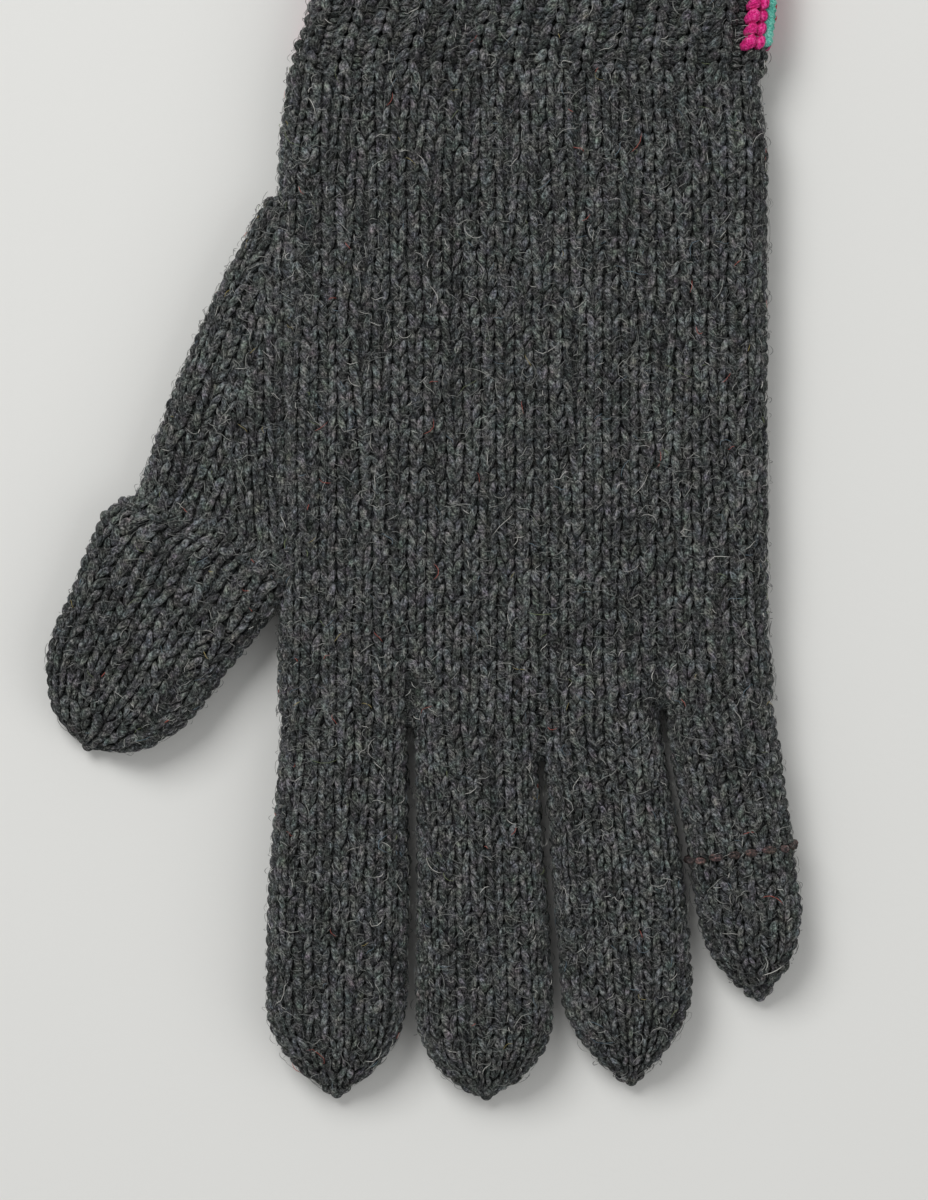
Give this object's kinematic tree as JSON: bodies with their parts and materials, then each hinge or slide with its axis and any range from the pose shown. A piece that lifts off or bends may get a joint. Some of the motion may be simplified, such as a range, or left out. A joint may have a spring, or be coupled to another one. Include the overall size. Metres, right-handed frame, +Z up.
{
  "type": "knitted glove",
  "caption": "Right-hand knitted wool glove with gusseted thumb, bending finger sections, knotted tips and a ribbed cuff with coloured stripes on its back.",
  "frame": {"origin": "middle of the hand's flat underside, which is the back of the hand as the glove lies palm up", "axes": "+Z up out of the palm, +Y from the fingers to the cuff, +X from the thumb to the little finger"},
  "size_m": [0.1399, 0.2458, 0.012],
  "materials": {
    "charcoal_wool": "felted heather wool, stocking stitch",
    "rib_wool": "felted heather wool, one by one rib",
    "conductive_wool": "heather wool spun with fine steel fibre",
    "joined_yarn": "heather wool with a reddish fibre",
    "pink_wool": "bright pink wool",
    "teal_wool": "pale teal wool",
    "red_wool": "red wool"
  },
  "bodies": {
    "hand": {"hand": "charcoal_wool", "index_middle_bridge": "charcoal_wool", "middle_ring_bridge": "charcoal_wool", "ring_little_bridge": "charcoal_wool"},
    "cuff": {"cuff_rib": "rib_wool", "cast_on_edge": "rib_wool", "pink_stripes": "pink_wool", "teal_stripes": "teal_wool", "red_stripes": "red_wool"},
    "thumb_gusset": {"thumb_gusset": "charcoal_wool"},
    "index_base": {"index_base": "charcoal_wool"},
    "index_middle": {"index_middle": "charcoal_wool"},
    "index_tip": {"index_tip": "conductive_wool", "index_knot": "charcoal_wool"},
    "middle_base": {"middle_base": "charcoal_wool"},
    "middle_middle": {"middle_middle": "charcoal_wool"},
    "middle_tip": {"middle_tip": "charcoal_wool", "middle_knot": "charcoal_wool"},
    "ring_base": {"ring_base": "charcoal_wool"},
    "ring_middle": {"ring_middle": "charcoal_wool"},
    "ring_tip": {"ring_tip": "charcoal_wool", "ring_knot": "charcoal_wool"},
    "little_base": {"little_base": "charcoal_wool"},
    "little_middle": {"little_middle": "charcoal_wool", "little_join": "joined_yarn"},
    "little_tip": {"little_tip": "charcoal_wool", "little_knot": "charcoal_wool"},
    "thumb_base": {"thumb_base": "charcoal_wool", "thumb_join": "charcoal_wool"},
    "thumb_tip": {"thumb_tip": "conductive_wool", "thumb_knot": "charcoal_wool"}
  },
  "joints": [
    {"name": "wrist_bend", "type": "hinge", "parent": "hand", "child": "cuff", "pos_m": [0.0025, 0.06, 0.006], "axis": [1, 0, 0], "range_deg": [-60, 70]},
    {"name": "thumb_fold", "type": "hinge", "parent": "hand", "child": "thumb_gusset", "pos_m": [-0.051, 0, 0.006], "axis": [0, 1, 0], "range_deg": [0, 38]},
    {"name": "index_knuckle", "type": "hinge", "parent": "hand", "child": "index_base", "pos_m": [-0.0326, -0.056, 0.006], "axis": [-1, 0, 0], "range_deg": [0, 80]},
    {"name": "index_middle_joint", "type": "hinge", "parent": "index_base", "child": "index_middle", "pos_m": [-0.0326, -0.079, 0.006], "axis": [-1, 0, 0], "range_deg": [0, 90]},
    {"name": "index_tip_joint", "type": "hinge", "parent": "index_middle", "child": "index_tip", "pos_m": [-0.0326, -0.101, 0.006], "axis": [-1, 0, 0], "range_deg": [0, 35]},
    {"name": "middle_knuckle", "type": "hinge", "parent": "hand", "child": "middle_base", "pos_m": [-0.0087, -0.06, 0.006], "axis": [-1, 0, 0], "range_deg": [0, 80]},
    {"name": "middle_middle_joint", "type": "hinge", "parent": "middle_base", "child": "middle_middle", "pos_m": [-0.00833, -0.081, 0.006], "axis": [-0.9998, -0.0175, 0], "range_deg": [0, 90]},
    {"name": "middle_tip_joint", "type": "hinge", "parent": "middle_middle", "child": "middle_tip", "pos_m": [-0.00797, -0.10199, 0.006], "axis": [-0.9998, -0.0175, 0], "range_deg": [0, 35]},
    {"name": "ring_knuckle", "type": "hinge", "parent": "hand", "child": "ring_base", "pos_m": [0.0142, -0.058, 0.006], "axis": [-1, 0, 0], "range_deg": [0, 80]},
    {"name": "ring_middle_joint", "type": "hinge", "parent": "ring_base", "child": "ring_middle", "pos_m": [0.01603, -0.07892, 0.006], "axis": [-0.9962, -0.0872, 0], "range_deg": [0, 90]},
    {"name": "ring_tip_joint", "type": "hinge", "parent": "ring_middle", "child": "ring_tip", "pos_m": [0.01786, -0.09984, 0.006], "axis": [-0.9962, -0.0872, 0], "range_deg": [0, 35]},
    {"name": "little_knuckle", "type": "hinge", "parent": "hand", "child": "little_base", "pos_m": [0.0351, -0.053, 0.006], "axis": [-1, 0, 0], "range_deg": [0, 80]},
    {"name": "little_middle_joint", "type": "hinge", "parent": "little_base", "child": "little_middle", "pos_m": [0.03747, -0.06983, 0.006], "axis": [-0.9903, -0.1392, 0], "range_deg": [0, 90]},
    {"name": "little_tip_joint", "type": "hinge", "parent": "little_middle", "child": "little_tip", "pos_m": [0.03997, -0.08766, 0.006], "axis": [-0.9903, -0.1392, 0], "range_deg": [0, 35]},
    {"name": "thumb_bend", "type": "hinge", "parent": "thumb_gusset", "child": "thumb_base", "pos_m": [-0.06174, -0.0205, 0.006], "axis": [-0.891, 0.454, 0], "range_deg": [0, 15]},
    {"name": "thumb_tip_joint", "type": "hinge", "parent": "thumb_base", "child": "thumb_tip", "pos_m": [-0.07128, -0.03921, 0.006], "axis": [-0.891, 0.454, 0], "range_deg": [0, 45]}
  ]
}
